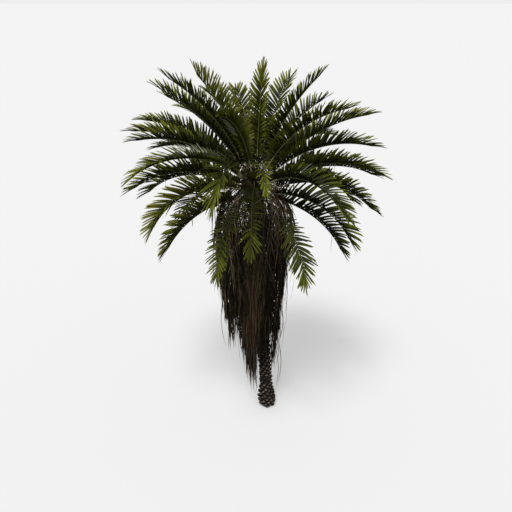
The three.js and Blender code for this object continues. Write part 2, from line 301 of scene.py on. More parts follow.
TRUNK = node_points("trunk")
SKIRTS = sorted(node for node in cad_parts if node.startswith("skirt_"))
FRONDS = frond_names()


def trunk_levels():
    """Height, axis x and radius of the trunk at each ring of its solid."""
    heights = np.unique(TRUNK[:, 2])
    rows = []
    for z in heights:
        ring = TRUNK[TRUNK[:, 2] == z]
        axis = (ring[:, 0].min() + ring[:, 0].max()) / 2
        rows.append((z, axis, np.hypot(ring[:, 0] - axis, ring[:, 1]).max()))
    return np.array(rows).T


LEVEL_Z, LEVEL_X, LEVEL_R = trunk_levels()
TRUNK_TOP = LEVEL_Z[-1]


def trunk_axis(z):
    """The trunk's middle at a height: x, on y = 0."""
    return np.interp(z, LEVEL_Z, LEVEL_X)


def trunk_radius(z):
    """The trunk's radius at a height."""
    return np.interp(z, LEVEL_Z, LEVEL_R)


def from_trunk(places):
    """The level way from the trunk's axis to places."""
    x = trunk_axis(places[..., 2])
    return unit(places * (1, 1, 0) - np.stack([x, 0 * x, 0 * x], -1))


HEART = np.array([trunk_axis(HEART_HEIGHT), 0.0, HEART_HEIGHT])
IN_PLANE = 0.006           # a corner this near to a frond's own plane is on its fold or its keel


# ---------- lines and ways ----------

def unit(v):
    """Vectors along the last axis, scaled to length 1."""
    return v / np.maximum(np.linalg.norm(v, axis=-1, keepdims=True), TINY)


def facing(v, way):
    """Vectors, each turned round where it points away from its way."""
    return v * np.sign((v * way).sum(-1, keepdims=True) + TINY)


def run_of(line):
    """The length of a line of points up to each of them."""
    return np.concatenate([[0], np.cumsum(np.linalg.norm(np.diff(line, axis=0), axis=1))])


def read_at(at, steps, rows):
    """Rows of x, y, z that stand at steps, read in between."""
    return np.stack([np.interp(at, steps, rows[:, k]) for k in range(3)], -1)


# ---------- meshes from arrays ----------

def build(name, parts, materials, smooth=True):
    """One object from (points, triangles, material numbers) parts laid end to end."""
    points = np.concatenate([p.reshape(-1, 3) for p, _, _ in parts])
    starts = np.cumsum([0] + [p.size // 3 for p, _, _ in parts[:-1]])
    faces = np.concatenate([t.reshape(-1, 3) + s for (_, t, _), s in zip(parts, starts)])
    slots = np.concatenate([m.ravel() for _, _, m in parts])
    mesh = bpy.data.meshes.new(name)
    mesh.vertices.add(len(points))
    mesh.vertices.foreach_set("co", points.astype(np.float32).ravel())
    mesh.loops.add(faces.size)
    mesh.loops.foreach_set("vertex_index", faces.astype(np.int32).ravel())
    mesh.polygons.add(len(faces))
    mesh.polygons.foreach_set("loop_start", np.arange(0, faces.size, 3, dtype=np.int32))
    mesh.polygons.foreach_set("material_index", slots.astype(np.int32))
    mesh.polygons.foreach_set("use_smooth", np.full(len(faces), smooth))
    mesh.update(calc_edges=True)
    for material in materials:
        mesh.materials.append(material)
    piece = bpy.data.objects.new(name, mesh)
    bpy.context.scene.collection.objects.link(piece)
    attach(piece, "root")
    return piece


def for_each(points, pattern):
    """The triangles of one shape, repeated for each of the shapes in points."""
    return pattern[None] + (np.arange(len(points)) * points.shape[1])[:, None, None]


def ring_walls(rings, sides):
    """Triangles between rings of points that are numbered ring after ring."""
    k, j = np.meshgrid(np.arange(rings - 1), np.arange(sides), indexing="ij")
    a, b = k * sides + j, k * sides + (j + 1) % sides
    walls = np.stack([np.stack([a, b, b + sides], -1), np.stack([a, b + sides, a + sides], -1)], 2)
    return walls.reshape(-1, 3)


def ring_cap(first, sides, middle, turn=1):
    """Triangles from a ring, whose points are numbered from first, to the point in its middle. They
    face on from the last ring, or with a turn of -1 back from the first."""
    j = np.arange(sides)
    edge = (first + j, first + (j + 1) % sides)[::turn]
    return np.stack([*edge, np.full(sides, middle)], -1)


def ribbons(path, across, normal, width, fold, shades):
    """Folded blades. path is (blades, stations, 3); across is the unit way over the blade and normal
    the way its edges rise; width is (blades, stations) and fold the rise as a share of half of it.
    Each station has a left edge, a middle and a right edge, and the last is a single point.
    shades is (blades, stations - 1): the material number of each stretch."""
    blades, stations = path.shape[:2]
    half = width[..., None] / 2
    rise = normal * half * fold
    rows = np.stack([path + across * half + rise, path, path - across * half + rise], axis=2)
    body = rows[:, :-1].reshape(blades, -1, 3)
    points = np.concatenate([body, path[:, -1:]], axis=1)
    pattern, stretch = [], []
    for k in range(stations - 2):
        a, b = 3 * k, 3 * k + 3
        pattern += [(a, a + 1, b + 1), (a, b + 1, b), (a + 1, a + 2, b + 2), (a + 1, b + 2, b + 1)]
        stretch += [k] * 4
    a, tip = 3 * (stations - 2), 3 * (stations - 1)
    pattern += [(a, a + 1, tip), (a + 1, a + 2, tip)]
    stretch += [stations - 2] * 2
    return points, for_each(points, np.array(pattern)), shades[:, stretch]


def tubes(path, side, up, wide, high, shades, sides=RIB_SIDES):
    """Closed rods. path is (rods, stations, 3); each station is an oval, wide along side and high
    along up, and both ends close on a point. shades is (rods, stations - 1)."""
    rods, stations = path.shape[:2]
    turn = np.arange(sides) / sides * TURN
    ring = (np.cos(turn)[:, None] * (side * wide[..., None])[..., None, :]
            + np.sin(turn)[:, None] * (up * high[..., None])[..., None, :]) / 2
    body = (path[:, :, None] + ring).reshape(rods, -1, 3)
    points = np.concatenate([body, path[:, :1], path[:, -1:]], axis=1)
    start, end = stations * sides, stations * sides + 1
    pattern = np.concatenate([ring_walls(stations, sides), ring_cap(0, sides, start, -1),
                              ring_cap(start - sides, sides, end)])
    stretch = np.concatenate([np.repeat(np.arange(stations - 1), 2 * sides), np.zeros(sides, int),
                              np.full(sides, stations - 2)])
    return points, for_each(points, pattern), shades[:, stretch]


# ---------- materials ----------

def add_noise(material, scale, detail, grain):
    """Noise on the object's own coordinates, with a bump of it on the surface. Returns its node."""
    nodes, links = material.node_tree.nodes, material.node_tree.links
    place = nodes.new("ShaderNodeTexCoord")
    noise = nodes.new("ShaderNodeTexNoise")
    noise.inputs["Scale"].default_value = scale
    noise.inputs["Detail"].default_value = detail
    bump = nodes.new("ShaderNodeBump")
    bump.inputs["Strength"].default_value = grain
    bump.inputs["Distance"].default_value = BUMP_DISTANCE
    links.new(place.outputs["Object"], noise.inputs["Vector"])
    links.new(noise.outputs["Fac"], bump.inputs["Height"])
    links.new(bump.outputs["Normal"], nodes["Principled BSDF"].inputs["Normal"])
    return noise


def finish(name, colour, roughness, grain=0.0, gloss=0.15):
    """A plain base colour, with a fine bump of noise on the surface when grain is not 0."""
    material = bpy.data.materials.new(name)
    material.use_nodes = True
    shader = material.node_tree.nodes["Principled BSDF"]
    shader.inputs["Base Color"].default_value = (*colour, 1)
    shader.inputs["Roughness"].default_value = roughness
    shader.inputs["Specular IOR Level"].default_value = gloss
    if grain:
        add_noise(material, FINE_SCALE, FINE_DETAIL, grain)
    return material


def mottled(name, dark, pale, roughness, scale, grain):
    """Two colours mixed by noise, with a bump of the same noise."""
    material = finish(name, dark, roughness)
    noise = add_noise(material, scale, COARSE_DETAIL, grain)
    noise.inputs["Roughness"].default_value = 0.65
    nodes, links = material.node_tree.nodes, material.node_tree.links
    ramp = nodes.new("ShaderNodeValToRGB")
    for stop, position, colour in zip(ramp.color_ramp.elements, (0.35, 0.68), (dark, pale)):
        stop.position = position
        stop.color = (*colour, 1)
    links.new(noise.outputs["Fac"], ramp.inputs["Fac"])
    links.new(ramp.outputs["Color"], nodes["Principled BSDF"].inputs["Base Color"])
    return material


# Greens of the leaflets, from the deep green that paints shade in the crown to the yellow tips.
GREENS = [
    finish("leaf_deep", (0.015, 0.0175, 0.0022), 0.5, gloss=0.10),
    finish("leaf_dark", (0.028, 0.033, 0.0030), 0.5, gloss=0.08),
    finish("leaf_mid", (0.049, 0.059, 0.0042), 0.5, gloss=0.06),
    finish("leaf_fresh", (0.078, 0.092, 0.0064), 0.5, gloss=0.06),
    finish("leaf_light", (0.116, 0.130, 0.012), 0.5, gloss=0.06),
    finish("leaf_tip", (0.180, 0.180, 0.036), 0.55, gloss=0.06),
    finish("leaf_grey", (0.042, 0.052, 0.024), 0.4, gloss=0.5),
    # A painted sheen: a pale silver green in place of the sky's reflection on glossy leaflets.
    finish("leaf_painted_sheen", (0.225, 0.248, 0.155), 0.45, gloss=0.5),
]
STALKS = [
    finish("stalk_foot", (0.058, 0.034, 0.020), 0.7, grain=0.4),
    finish("stalk_pale", (0.400, 0.350, 0.215), 0.5, grain=0.2),
    finish("stalk_green", (0.135, 0.150, 0.062), 0.5, grain=0.2),
    finish("stalk_dry", (0.030, 0.023, 0.013), 0.8, grain=0.2),
    # Painted shade: the dark green of the ribs of fronds in shade.
    finish("stalk_shaded", (0.034, 0.040, 0.009), 0.6, grain=0.2),
]
DEAD = [
    finish("thatch_black", (0.020, 0.016, 0.0095), 0.8, gloss=0.05),
    finish("thatch_umber", (0.066, 0.049, 0.030), 0.8, gloss=0.05),
    finish("thatch_brown", (0.104, 0.074, 0.046), 0.8, gloss=0.05),
    finish("thatch_rust", (0.110, 0.058, 0.031), 0.8, gloss=0.05),
    finish("thatch_buff", (0.125, 0.103, 0.070), 0.85, gloss=0.05),
    finish("sheath", (0.036, 0.032, 0.014), 0.8, grain=0.3, gloss=0.05),
]


# ---------- green fronds ----------

class Rib(NamedTuple):
    """The middle line of a frond: place, way along and way up at even steps of it, the level way
    across it, and its length."""
    place: np.ndarray
    ahead: np.ndarray
    up: np.ndarray
    side: np.ndarray
    length: float


def rib_of(nodes, steps=60):
    """The middle line of a frond, from its solid. Its plane is upright and holds the crown's axis and
    the tip, so the corners in that plane are its upper fold and its keel; a curve of the fifth degree
    over the chord from root to tip, fitted to both, is the line between them."""
    points = node_points(*nodes)
    from_axis = np.hypot(points[:, 0] - HEART[0], points[:, 1])
    order = np.argsort(np.linalg.norm(points - points[from_axis.argmin()], axis=1))
    tip = points[order[-2:]].mean(0)
    out = unit(np.array([tip[0] - HEART[0], tip[1], 0.0]))
    side = np.array([-out[1], out[0], 0.0])
    inline = points[np.abs((points - HEART) @ side) < IN_PLANE]
    root = inline[np.argsort((inline - HEART) @ out)[:2]].mean(0)
    chord = unit(tip - root)
    above = facing(np.cross(chord, side), -DOWN)
    along, height = (inline - root) @ chord, (inline - root) @ above
    span = along.max()
    curve = np.polyfit(along / span, height, 5)
    fine = np.linspace(along.min(), span, 400)
    line = root + fine[:, None] * chord + np.polyval(curve, fine / span)[:, None] * above
    run = run_of(line)
    place = read_at(np.linspace(0, run[-1], steps), run, line)
    ahead = unit(np.gradient(place, axis=0))
    return Rib(place, ahead, np.cross(ahead, side), side, run[-1])


def along_rib(rib, t):
    """Place, way along and way up on a rib at shares t of its length."""
    steps = np.linspace(0, 1, len(rib.place))
    return read_at(t, steps, rib.place), unit(read_at(t, steps, rib.ahead)), unit(read_at(t, steps, rib.up))


def leaflet_shades(t, share, hand, habit, rng):
    """The finish of each stretch of each leaflet: the frond's tint, darker at the leaflet's foot by painted
    shade and lighter towards its end, lighter at the frond's tip, and up to a step more or less at random.
    A frond in shade gets painted shade near the trunk and painted light past bright. Grey leaflets and
    painted sheen leave the dark feet as they are."""
    shade_step = np.round(habit.fade * np.array(LEAFLET_SHADE_STEPS)).astype(int)
    step_along = (share > LIGHTER_FROM) * 1 + rng.choice([-1, -1, 0, 0, 1, 1], t.size)
    # On a frond in shade: painted shade near the trunk, painted light past bright.
    step_along += habit.shade * ((share > habit.bright) * 1 - (share < SHADE_TO) * 1)
    shades = np.clip(habit.tint + shade_step[None] + step_along[:, None], DEEP, TIP)
    dull = (t < DULL_TO) & (rng.random(t.size) < habit.dull)
    shades[dull[:, None] & (shade_step[None] >= -1)] = GREY
    # Painted sheen: some leaflets between these shares of the rib are painted silver.
    first, last, side = habit.painted_sheen
    painted_sheen = (t > first) & (t < last) & (hand * side >= 0) & (rng.random(t.size) < PAINTED_SHEEN_COVER)
    shades[painted_sheen[:, None] & (shade_step[None] >= 0)] = SILVER_SHEEN
    return shades


def leaflets(rib, habit, rng):
    """Leaflets down both sides of one rib, in close groups. They stand in a V over it, nearly square
    to it by the stalk and swept forward by the square of the way out, then by its ninth power, until
    they close on its tip, and slow waves open and close the comb. One group stands higher and the
    next lower, the more the closer they are. Each leaflet leaves the rib straight and bows down by
    the square of the way along it, the more the more level it sets out."""
    groups = int(rib.length * (RIB_END - habit.start) / (GROUP_PITCH * habit.pitch))
    hand = np.repeat([1.0, -1.0], groups * GROUP_SIZE)
    member = np.tile(np.arange(GROUP_SIZE) - (GROUP_SIZE - 1) / 2, 2 * groups)
    rank = np.repeat(np.arange(2 * groups) % 2 * 2 - 1, GROUP_SIZE)
    n = member.size

    def by_group(what, loose=1):
        """A random number for each group, the same for all its leaflets."""
        return np.repeat(rng.normal(0, GROUP_SCATTER[what] * loose, 2 * groups), GROUP_SIZE)

    even = np.repeat(np.tile(np.linspace(habit.start, RIB_END, groups), 2), GROUP_SIZE)
    shift = member * GROUP_SPREAD + hand * GROUP_PITCH * habit.pitch / 4 + by_group("place", habit.pitch)
    t = np.clip(even + shift / rib.length, habit.start, RIB_END)
    share = (t - BLADE_START) / (RIB_END - BLADE_START)
    place, ahead, up = along_rib(rib, t)
    across = rib.side * hand[:, None]
    wave = np.zeros(n)
    for ripples, degrees in COMB_WAVES:
        phase = np.where(hand > 0, *rng.uniform(0, TURN, 2))
        wave += degrees * np.sin(TURN * ripples * share + phase)
    sweep = LEAFLET_SWEEP + habit.splay - habit.close * share ** 2 - habit.end * share ** 9 + wave
    sweep = np.radians(sweep + by_group("sweep", habit.loose) + member)
    lift = habit.lift - habit.roll * hand + LEAFLET_FALL / 2 - LEAFLET_FALL * share
    lift = lift + (9 - 4 * habit.pitch) * rank + by_group("lift", habit.loose) + 3 * member
    lift = np.radians(lift + rng.normal(0, LEAFLET_SCATTER["lift"], n))
    out = across * np.cos(lift)[:, None] + up * np.sin(lift)[:, None]
    way = unit(ahead * np.cos(sweep)[:, None] + out * np.sin(sweep)[:, None])
    grow = np.clip((t - habit.start + 0.02) / LEAFLET_GROWN, 0, 1) ** 0.8
    size = LEAFLET_LENGTH * habit.long * (LEAFLET_FIRST + (1 - LEAFLET_FIRST) * grow)
    size *= 1 - LEAFLET_LAST * share ** 5
    size *= 1 + by_group("size", habit.loose) + rng.normal(0, LEAFLET_SCATTER["size"], n)
    s = np.linspace(0, 1, LEAFLET_STATIONS)
    limp = LEAFLET_BOW * (1 - 0.5 * share) * (1 + by_group("bow"))
    sag = (limp * np.hypot(way[:, 0], way[:, 1]))[:, None] * s ** 2
    bend = (0.03 + by_group("bend"))[:, None] * s ** 2
    path = place[:, None] + size[:, None, None] * (
        way[:, None] * s[:, None] + DOWN * sag[..., None] + ahead[:, None] * bend[..., None])
    run = unit(np.gradient(path, axis=1))
    flat = unit(ahead[:, None] - run * (ahead[:, None] * run).sum(-1, keepdims=True))
    face = facing(np.cross(run, flat), up[:, None])
    twist = np.radians(5 + 7 * member + rng.normal(0, LEAFLET_SCATTER["twist"], n))[:, None, None]
    over = flat * np.cos(twist) + face * np.sin(twist)
    face = facing(np.cross(run, over), up[:, None])
    broad = (0.55 + 0.45 * grow) * (1 - 0.3 * share ** 3) * rng.normal(1, LEAFLET_SCATTER["width"], n)
    broad *= 0.8 + 0.2 * habit.pitch
    width = LEAFLET_WIDTH * habit.slim * np.interp(s, *LEAFLET_OUTLINE) * broad[:, None]
    return ribbons(path, over, face, width, LEAFLET_FOLD, leaflet_shades(t, share, hand, habit, rng))


def spines(rib, rng):
    """Stiff spines down both sides of the stalk, short near the trunk and longer outwards."""
    t = np.tile(np.linspace(SPINE_START, BLADE_START, SPINE_COUNT), 2)
    hand = np.repeat([1.0, -1.0], SPINE_COUNT)
    place, ahead, up = along_rib(rib, t)
    way = unit(rib.side * hand[:, None] + up * rng.normal(0.5, 0.2, t.size)[:, None]
               + ahead * rng.normal(0.45, 0.12, t.size)[:, None])
    size = SPINE_LENGTH * np.tile(np.linspace(0.5, 1.5, SPINE_COUNT), 2)
    s = np.array([0, 0.5, 1])
    path = place[:, None] + way[:, None] * (size[:, None] * s)[..., None]
    way = np.broadcast_to(way[:, None], path.shape)
    over = unit(ahead[:, None] - way * (ahead[:, None] * way).sum(-1, keepdims=True))
    width = SPINE_WIDTH * np.array([1, 0.8, 0]) * np.ones((t.size, 1))
    return ribbons(path, over, np.cross(way, over), width, SPINE_FOLD, np.full((t.size, 2), LIGHT))


def stalks(ribs, dry, shaded):
    """The ribs as oval rods: a broad clasping foot, then a taper to the tip. dry is how far along
    each of them is dull because it has lost its leaflets; the ribs of fronds in shade get painted shade."""
    t = np.linspace(0, RIB_END, RIB_STATIONS)
    path, ahead, up = (np.stack(rows) for rows in zip(*(along_rib(rib, t) for rib in ribs)))
    side = np.stack([np.broadcast_to(rib.side, (t.size, 3)) for rib in ribs])
    path[:, 0] -= ahead[:, 0] * RIB_INSET
    steps = [0, 0.025, 0.08, 0.2, 0.6, 1]
    wide = np.interp(t, steps, [0.075, 0.048, 0.034, 0.028, 0.020, 0.007])
    high = np.interp(t, steps, [0.038, 0.032, 0.026, 0.023, 0.016, 0.006])
    shade = np.interp(t[:-1], [0, 0.035, 0.04, 0.2, 0.22, 1], [FOOT, FOOT, PALE, PALE, GREEN, GREEN])
    shade = np.where(np.array(shaded)[:, None], SHADED, shade.round().astype(int))
    shade = np.where(t[None, :-1] < np.array(dry)[:, None], DRY, shade)
    rods = (len(ribs), t.size)
    return tubes(path, side, up, np.broadcast_to(wide, rods), np.broadcast_to(high, rods), shade)


# ---------- skirt ----------

def dead_ribs(bundle, rng):
    """Dead ribs of one bundle: each leaves the trunk, arches out to the shoulder and hangs down from
    there on a straight slope to its foot, with a slow sway. Their distances are from the plumb line
    through the crown, and they are pushed clear of the trunk, which leans away from it below.
    Returns points as (ribs, stations, 3)."""
    count = bundle.count
    row = np.linspace(0, 1, count)
    scatter = BUNDLE_SCATTER
    turn = bundle.first + (bundle.last - bundle.first) * row + rng.normal(0, scatter["turn"], count)
    end = bundle.foot_first + (bundle.foot_last - bundle.foot_first) * row
    end = end + rng.normal(0, scatter["foot"], count)
    start = DEAD_TOP - rng.uniform(0, START_SPREAD, count)
    start = np.minimum(start, end + rng.uniform(*DEAD_FALL, count))
    reach = rng.normal(1, scatter["reach"], count)[:, None]
    s = np.linspace(0, 1, DEAD_STATIONS) ** 1.25
    z = start[:, None] + (end - start)[:, None] * s + 0.05 * np.sin(np.clip(s / 0.1, 0, 1) * math.pi)
    slope = np.clip((z - end[:, None]) / (SHOULDER - end)[:, None], 0, 1)
    hang = (bundle.foot + (bundle.shoulder - bundle.foot) * slope) * reach
    arch = 1 - np.exp(-np.maximum(start[:, None] - z, 0) / ARCH_DROP)
    inside = trunk_radius(z) * 0.9
    radius = inside + (hang - inside) * arch
    sway = rng.normal(0, scatter["sway"], count)[:, None]
    sway = sway * np.sin(s * 4 + rng.uniform(0, TURN, count)[:, None])
    angle = np.radians(turn)[:, None] + sway * s
    x = HEART[0] - trunk_axis(z) + radius * np.cos(angle)
    y = radius * np.sin(angle)
    clear = (trunk_radius(z) + TRUNK_CLEARANCE) * arch / np.maximum(np.hypot(x, y), TINY)
    push = np.maximum(1, clear)
    return np.stack([trunk_axis(z) + x * push, y * push, z], -1)


def strands(ribs, stiff, tints, rng):
    """Dry leaflets down both sides of dead ribs, twisted and narrow. Limp ones are left on the lower
    part of the rib and hang along it, and stiff ones still stand out from more of it."""
    parts = []
    clad = 0.66 + 0.28 * stiff
    for path, tint in zip(ribs, tints):
        run = run_of(path)
        count = int(run[-1] * clad / (STRAND_PITCH * (1 + 0.5 * stiff)))
        at = np.tile(np.linspace((1 - clad) * run[-1], run[-1], count), 2)
        n = at.size
        hand = np.repeat([1.0, -1.0], count)
        place = read_at(at, run, path)
        ahead = unit(read_at(at, run, np.gradient(path, axis=0)))
        out = from_trunk(place)
        side = np.cross(out, -DOWN) * hand[:, None]
        low = (at / run[-1]) ** 4
        away = (1 - stiff) * rng.uniform(0.05, 0.5, n) + stiff * rng.uniform(0.5, 0.75, n)
        away *= 1 - 0.75 * low
        way = unit(ahead * rng.uniform(0.7, 1.0, n)[:, None] + side * away[:, None]
                   + out * rng.normal(0.02, 0.14, n)[:, None])
        size = STRAND_LENGTH * rng.uniform(0.55 - 0.35 * low, 1.3 - 0.35 * stiff, n)
        s = np.linspace(0, 1, len(STRAND_OUTLINE))
        fall = (1 - 0.75 * stiff) * rng.uniform(0.7, 1.0, n)[:, None] * s ** 1.3
        sway = rng.normal(0, 0.035, n)[:, None] * np.sin(s * 4 + rng.uniform(0, 6, n)[:, None])
        line = place[:, None] + size[:, None, None] * (
            way[:, None] * (s * (1 - fall * STRAND_DROOP))[..., None] + DOWN * (s * fall)[..., None]
            + side[:, None] * (sway * s)[..., None])
        flow = unit(np.gradient(line, axis=1))
        twist = rng.uniform(0, TURN, n)[:, None] + rng.normal(0, 1.0, n)[:, None] * s
        base = unit(np.cross(flow, out[:, None]))
        other = np.cross(flow, base)
        over = base * np.cos(twist)[..., None] + other * np.sin(twist)[..., None]
        width = STRAND_WIDTH * np.array(STRAND_OUTLINE) * rng.uniform(0.6, 1.3, n)[:, None]
        shade = np.clip(tint + rng.choice([-2, -1, -1, 0, 0, 0, 0, 0, 1], n), BLACK, BUFF)
        shades = np.broadcast_to(shade[:, None], (n, s.size - 1))
        parts.append(ribbons(line, over, np.cross(flow, over), width, STRAND_FOLD, shades))
    return parts


def dead_rods(ribs, tints):
    """The dead ribs themselves, broad at the trunk and thin at their ends."""
    ahead = unit(np.gradient(ribs, axis=1))
    side = unit(np.cross(ahead, from_trunk(ribs)))
    s = np.linspace(0, 1, ribs.shape[1])
    wide = np.broadcast_to(np.interp(s, [0, 0.06, 0.2, 1], [0.060, 0.040, 0.022, 0.006]), ribs.shape[:2])
    shades = np.broadcast_to(np.array(tints)[:, None], (len(ribs), s.size - 1))
    return tubes(ribs, side, np.cross(side, ahead), wide, wide * 0.7, shades, sides=DEAD_SIDES)


def sheath():
    """The old sheath in front of the heart, split into flat strips that fan out downwards from one
    point. They stand out the most in the middle, and waves from strip to strip make their feet
    uneven."""
    s = np.linspace(0, 1, 7)
    fan = np.linspace(-1, 1, SHEATH_STRIPS)[:, None]
    x, y, z = HEART + SHEATH_END
    path = np.stack([x + 0.04 * s + SHEATH_HALF * fan * s ** 0.8,
                     y - SHEATH_STAND * s ** 0.7 * (1 - 0.3 * fan ** 2) + 0.012 * np.sin(9 * fan) * s,
                     z - (SHEATH_DROP + 0.08 * np.sin(7 * fan)) * s], -1)
    side = np.broadcast_to([1.0, 0.0, 0.0], path.shape)
    ahead = unit(np.gradient(path, axis=1))
    wide = np.interp(s, [0, 0.5, 0.9, 1], [0.012, 0.040, 0.044, 0.012]) * np.ones((SHEATH_STRIPS, 1))
    shades = np.full((SHEATH_STRIPS, s.size - 1), SHEATH)
    return tubes(path, side, np.cross(side, ahead), wide, wide * 0.3, shades, sides=DEAD_SIDES)


def threads(starts, outward, length, tints, rng):
    """Fine dry threads that hang from their starts: straight down, but for a slow sway that grows
    along them, and a little outwards."""
    n = len(starts)
    s = np.linspace(0, 1, THREAD_STATIONS)
    turn = rng.uniform(0, TURN, n)
    level = np.stack([np.cos(turn), np.sin(turn), 0 * turn], -1)
    sway = rng.normal(0, 0.05, n)[:, None] * np.sin(s * rng.uniform(2, 5, n)[:, None]) * s
    path = starts[:, None] + length[:, None, None] * (
        DOWN * s[:, None] + level[:, None] * sway[..., None]
        + outward[:, None] * (0.06 * np.sin(s * math.pi))[:, None])
    flow = unit(np.gradient(path, axis=1))
    over = unit(np.cross(flow, np.stack([-np.sin(turn), np.cos(turn), 0 * turn + 0.1], -1)[:, None]))
    width = THREAD_WIDTH * np.interp(s, [0, 0.3, 0.8, 1], [0.9, 1, 0.7, 0]) * np.ones((n, 1))
    shades = np.broadcast_to(rng.choice(tints, n)[:, None], (n, s.size - 1))
    return ribbons(path, over, np.cross(flow, over), width, STRAND_FOLD, shades)


def mass_threads(ribs, rng):
    """Threads that hang from anywhere but the top of the dead ribs of a mass, none of them down to
    the ground."""
    count, short, far = MASS_THREADS
    pick = ribs[rng.integers(0, len(ribs), count), rng.integers(5, ribs.shape[1], count)]
    away = from_trunk(pick)
    length = np.minimum(rng.uniform(short, far, count), pick[:, 2] - THREAD_END)
    return threads(pick + away * 0.04, away, length, (BLACK, BLACK, UMBER), rng)


# ---------- trunk ----------

def trunk_skin():
    """The trunk between its stubs: rings up its profile, pitted by waves round it and up it that set
    in just over the ground."""
    z = np.linspace(0, TRUNK_TOP, BARK_ROWS)[:, None]
    turn = np.arange(BARK_COLUMNS) / BARK_COLUMNS * TURN
    pits = sum(depth * np.sin(around * turn + climb * z) for depth, around, climb in BARK_WAVES)
    radius = trunk_radius(z) - STUB_DEPTH + pits * np.clip(z / 0.05, 0, 1)
    x = trunk_axis(z) + radius * np.cos(turn)
    rings = np.stack([x, radius * np.sin(turn), np.broadcast_to(z, x.shape)], -1)
    ends = [[0, 0, 0], [trunk_axis(TRUNK_TOP), 0, TRUNK_TOP]]
    foot, tip = x.size, x.size + 1
    faces = np.concatenate([ring_walls(BARK_ROWS, BARK_COLUMNS), ring_cap(0, BARK_COLUMNS, foot, -1),
                            ring_cap(foot - BARK_COLUMNS, BARK_COLUMNS, tip)])
    return np.concatenate([rings.reshape(-1, 3), ends]), faces, np.zeros(len(faces), int)


def stub_places():
    """Heights and azimuths of the frond stubs: a spiral with the golden angle between one and the
    next, and a climb that gives each stub the same area of trunk."""
    z = np.linspace(0.0, TRUNK_TOP - 0.5, 4000)
    per_metre = TURN * trunk_radius(z) / STUB_SPACING ** 2
    order = np.concatenate([[0], np.cumsum((per_metre[1:] + per_metre[:-1]) / 2 * np.diff(z))])
    count = int(order[-1])
    height = np.interp(np.arange(count) + 0.5, order, z)
    return height, (np.arange(count) * GOLDEN_TURN) % TURN


def stubs(rng):
    """Stubs of old fronds: an oval foot on the trunk, drawn outwards and up to a smaller cut face. The
    ovals are uneven, with one corner out and the next one in. The cut face is the palest, then the
    rim round it, and the flanks are dark."""
    z, turn = stub_places()
    n = z.size
    sides = STUB_SIDES
    radius = trunk_radius(z) - STUB_DEPTH
    out = np.stack([np.cos(turn), np.sin(turn), 0 * turn], -1)
    side = np.stack([-np.sin(turn), np.cos(turn), 0 * turn], -1)
    up = np.broadcast_to(-DOWN, (n, 3))
    middle = np.stack([trunk_axis(z), 0 * z, z], -1) + out * radius[:, None]
    ring = np.arange(sides) / sides * TURN
    jut = STUB_DEPTH * rng.uniform(0.7, 1.25, n)
    size = STUB_SPACING * rng.uniform(0.9, 1.1, n)
    slant = np.radians(STUB_SLANT + rng.normal(0, 8, n))[:, None]
    corner = np.where(np.arange(sides) % 2, 0.86, 1.08)
    rows = []
    for reach, climb, wide, tall in STUB_SECTIONS:
        centre = middle + out * (jut * reach)[:, None] + up * (size * climb)[:, None]
        level, plumb = np.cos(ring) * corner * wide / 2, np.sin(ring) * corner * tall / 2
        shift = (side[:, None] * (level * np.cos(slant) - plumb * np.sin(slant))[..., None]
                 + up[:, None] * (level * np.sin(slant) + plumb * np.cos(slant))[..., None])
        rows.append(centre[:, None] + shift * size[:, None, None])
    reach, climb = STUB_FACE
    face = middle + out * (jut * reach)[:, None] + up * (size * climb)[:, None]
    points = np.concatenate([*rows, face[:, None]], axis=1)
    points += rng.normal(0, 0.0022, points.shape)
    points[..., 2] = np.maximum(points[..., 2], 0.0)
    flanks = ring_walls(len(rows), sides)
    cut = ring_cap((len(rows) - 1) * sides, sides, len(rows) * sides)
    pale = rng.normal(2.5 - 1.3 * np.clip(z / PALER_BELOW, 0, 1), 0.7)
    pale = np.clip(np.round(pale), 1, 3).astype(int)[:, None]
    rim = 2 * sides
    slots = np.concatenate([np.zeros((n, len(flanks) - rim), int), np.repeat(pale - 1, rim, 1),
                            np.repeat(pale, sides, 1)], axis=1)
    return points, for_each(points, np.concatenate([flanks, cut])), slots


# ---------- making the palm ----------

def make_trunk(rng):
    """Bark, and the stubs that cover it."""
    bark = mottled("bark_between_stubs", (0.005, 0.004, 0.003), (0.020, 0.014, 0.010), 0.95, 30, 0.8)
    finishes = [
        mottled("stub_flank", (0.010, 0.007, 0.005), (0.040, 0.030, 0.023), 0.9, 40, 0.7),
        mottled("stub_dull", (0.034, 0.026, 0.019), (0.092, 0.073, 0.058), 0.9, 40, 0.7),
        mottled("stub_tan", (0.064, 0.051, 0.041), (0.180, 0.150, 0.124), 0.85, 50, 0.6),
        mottled("stub_pale", (0.112, 0.092, 0.076), (0.280, 0.238, 0.200), 0.85, 60, 0.5),
    ]
    skin = build("trunk_bark", [trunk_skin()], [bark])
    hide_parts("trunk")
    cover = build("trunk_stubs", [stubs(rng)], finishes, smooth=False)
    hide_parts("trunk")


def whorl_of(name):
    """The letter of a frond's whorl."""
    return name.removeprefix("frond_")[0]


